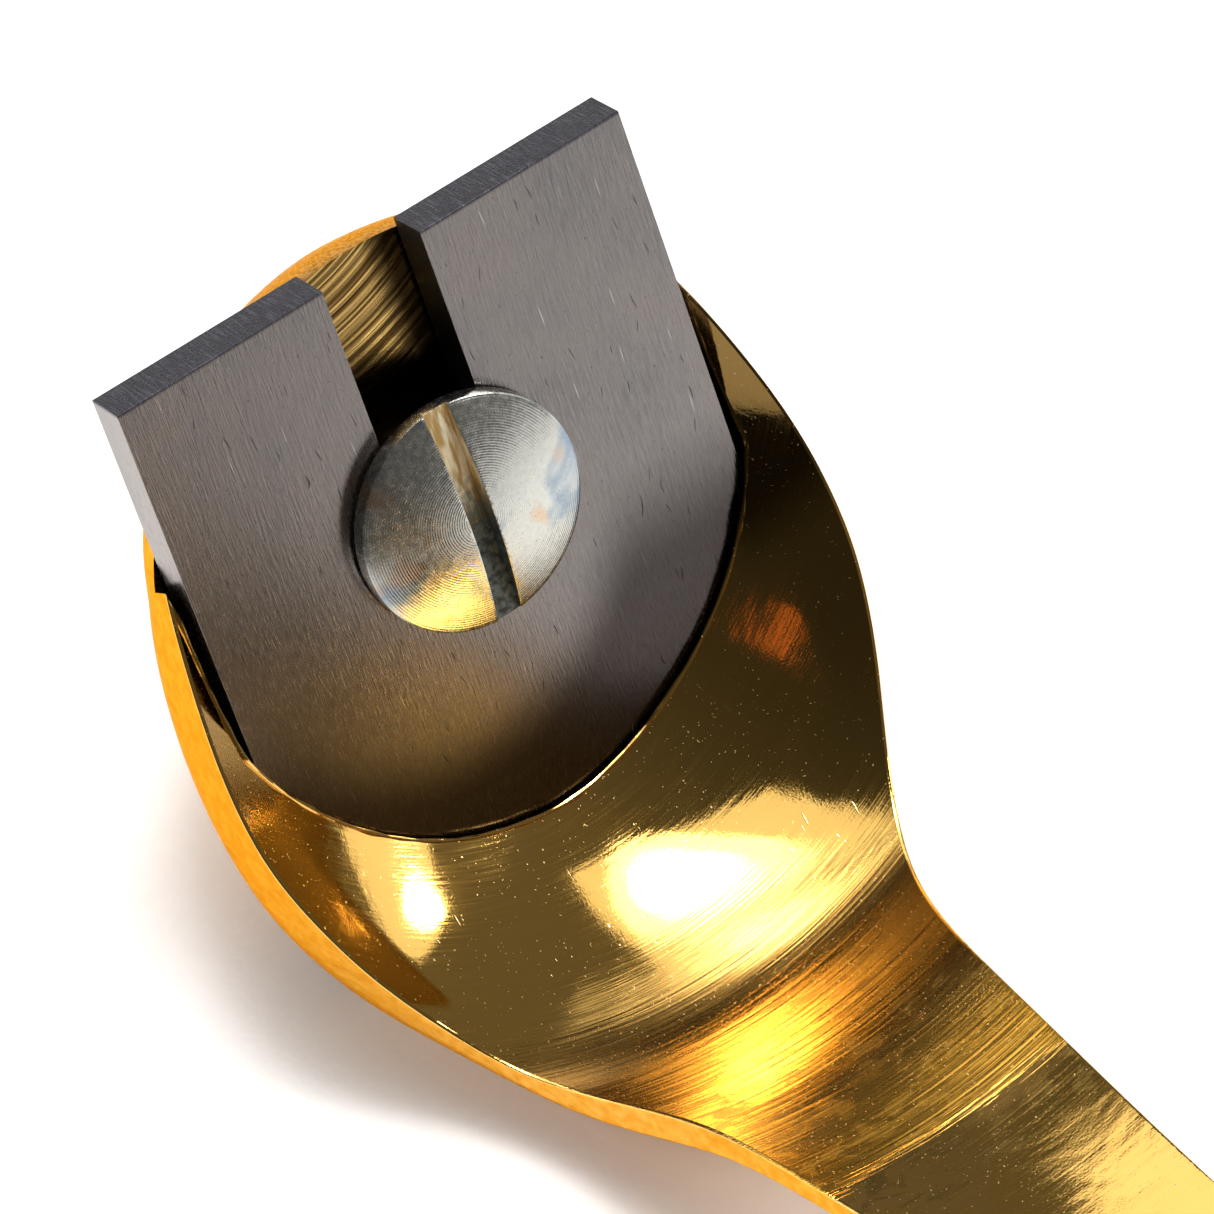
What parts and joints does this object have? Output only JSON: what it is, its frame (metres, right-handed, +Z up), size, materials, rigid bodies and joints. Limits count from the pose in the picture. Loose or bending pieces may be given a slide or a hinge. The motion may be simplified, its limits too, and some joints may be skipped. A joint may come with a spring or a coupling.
{
  "type": "spoon-soled hand plane",
  "caption": "Hand plane with a spoon-shaped polished brass body, a slotted cutter plate clamped on its bed by a screw, and a turned wooden handle.",
  "frame": {"origin": "bottom centre of the bounding box, where the tool stands on its sole and handle", "axes": "+X from the heel to the end of the handle, +Y across the cutter, +Z up"},
  "size_m": [0.2144, 0.0426, 0.0382],
  "materials": {
    "brass": "mirror polished inside, satin outside",
    "brass_trim": "polished",
    "tool_steel": "ground along its length",
    "zinc_steel": "turned, zinc plated",
    "plain_steel": "satin",
    "hardwood": "oiled"
  },
  "bodies": {
    "tool": {"body_casting": "brass", "tang_rod": "plain_steel", "tang_pin": "plain_steel", "ferrule": "brass_trim", "handle_grip": "hardwood", "end_washer": "brass_trim", "end_nut": "brass_trim"},
    "plate": {"cutter_plate": "tool_steel"},
    "screw": {"clamp_screw": "zinc_steel"}
  },
  "joints": [
    {"name": "plate_slide", "type": "slide", "parent": "tool", "child": "plate", "axis": [0.5127, 0, -0.8586], "range_m": [-0.0025, 0.01]},
    {"name": "clamp_screw_turn", "type": "hinge", "parent": "tool", "child": "screw", "pos_m": [-0.08914, 0, 0.02326], "axis": [0.8586, 0, 0.5127], "continuous": true}
  ]
}
